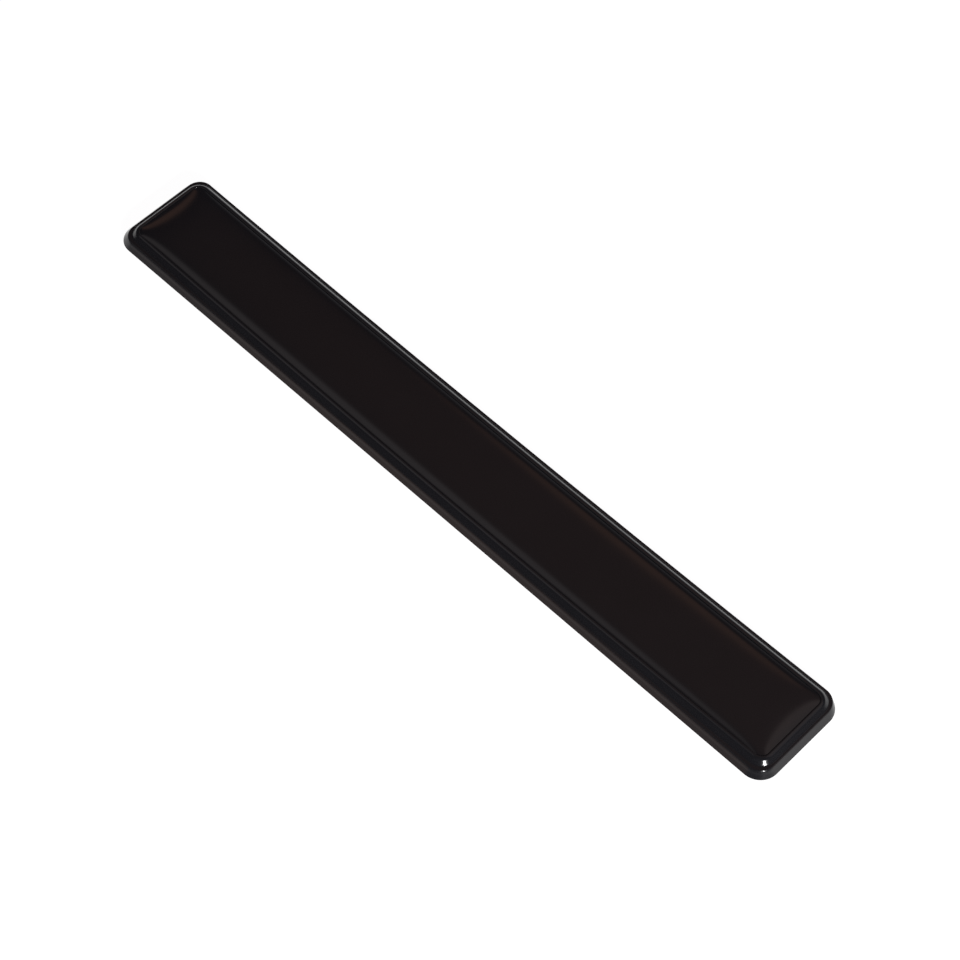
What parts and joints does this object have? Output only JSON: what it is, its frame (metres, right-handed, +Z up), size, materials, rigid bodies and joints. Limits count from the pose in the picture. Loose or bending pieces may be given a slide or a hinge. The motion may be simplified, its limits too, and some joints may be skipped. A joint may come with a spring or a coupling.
{
  "type": "wrist rest",
  "caption": "Long gel wrist rest for a keyboard: a glossy black domed gel pad set in a moulded tray with a sloping skirt and raised edge, standing on rubber feet.",
  "frame": {"origin": "on the desk surface, under the middle of the rest's footprint", "axes": "+X along the length, +Y away from the user towards the keyboard, +Z up"},
  "size_m": [0.464, 0.0604, 0.0096],
  "materials": {
    "tray": "glossy black moulding",
    "skin": "glossy smoky black film",
    "gel": "soft dark gel",
    "film": "satin film",
    "adhesive": "clear-yellow adhesive film",
    "foot": "matt black rubber"
  },
  "bodies": {
    "root": {"base_tray": "tray", "pad_adhesive": "adhesive", "backing_film": "film", "gel_core": "gel", "pad_skin": "skin", "foot_front_left": "foot", "foot_front_middle": "foot", "foot_front_right": "foot", "foot_back_left": "foot", "foot_back_middle": "foot", "foot_back_right": "foot", "foot_adhesive_front_left": "adhesive", "foot_adhesive_front_middle": "adhesive", "foot_adhesive_front_right": "adhesive", "foot_adhesive_back_left": "adhesive", "foot_adhesive_back_middle": "adhesive", "foot_adhesive_back_right": "adhesive"}
  },
  "joints": []
}
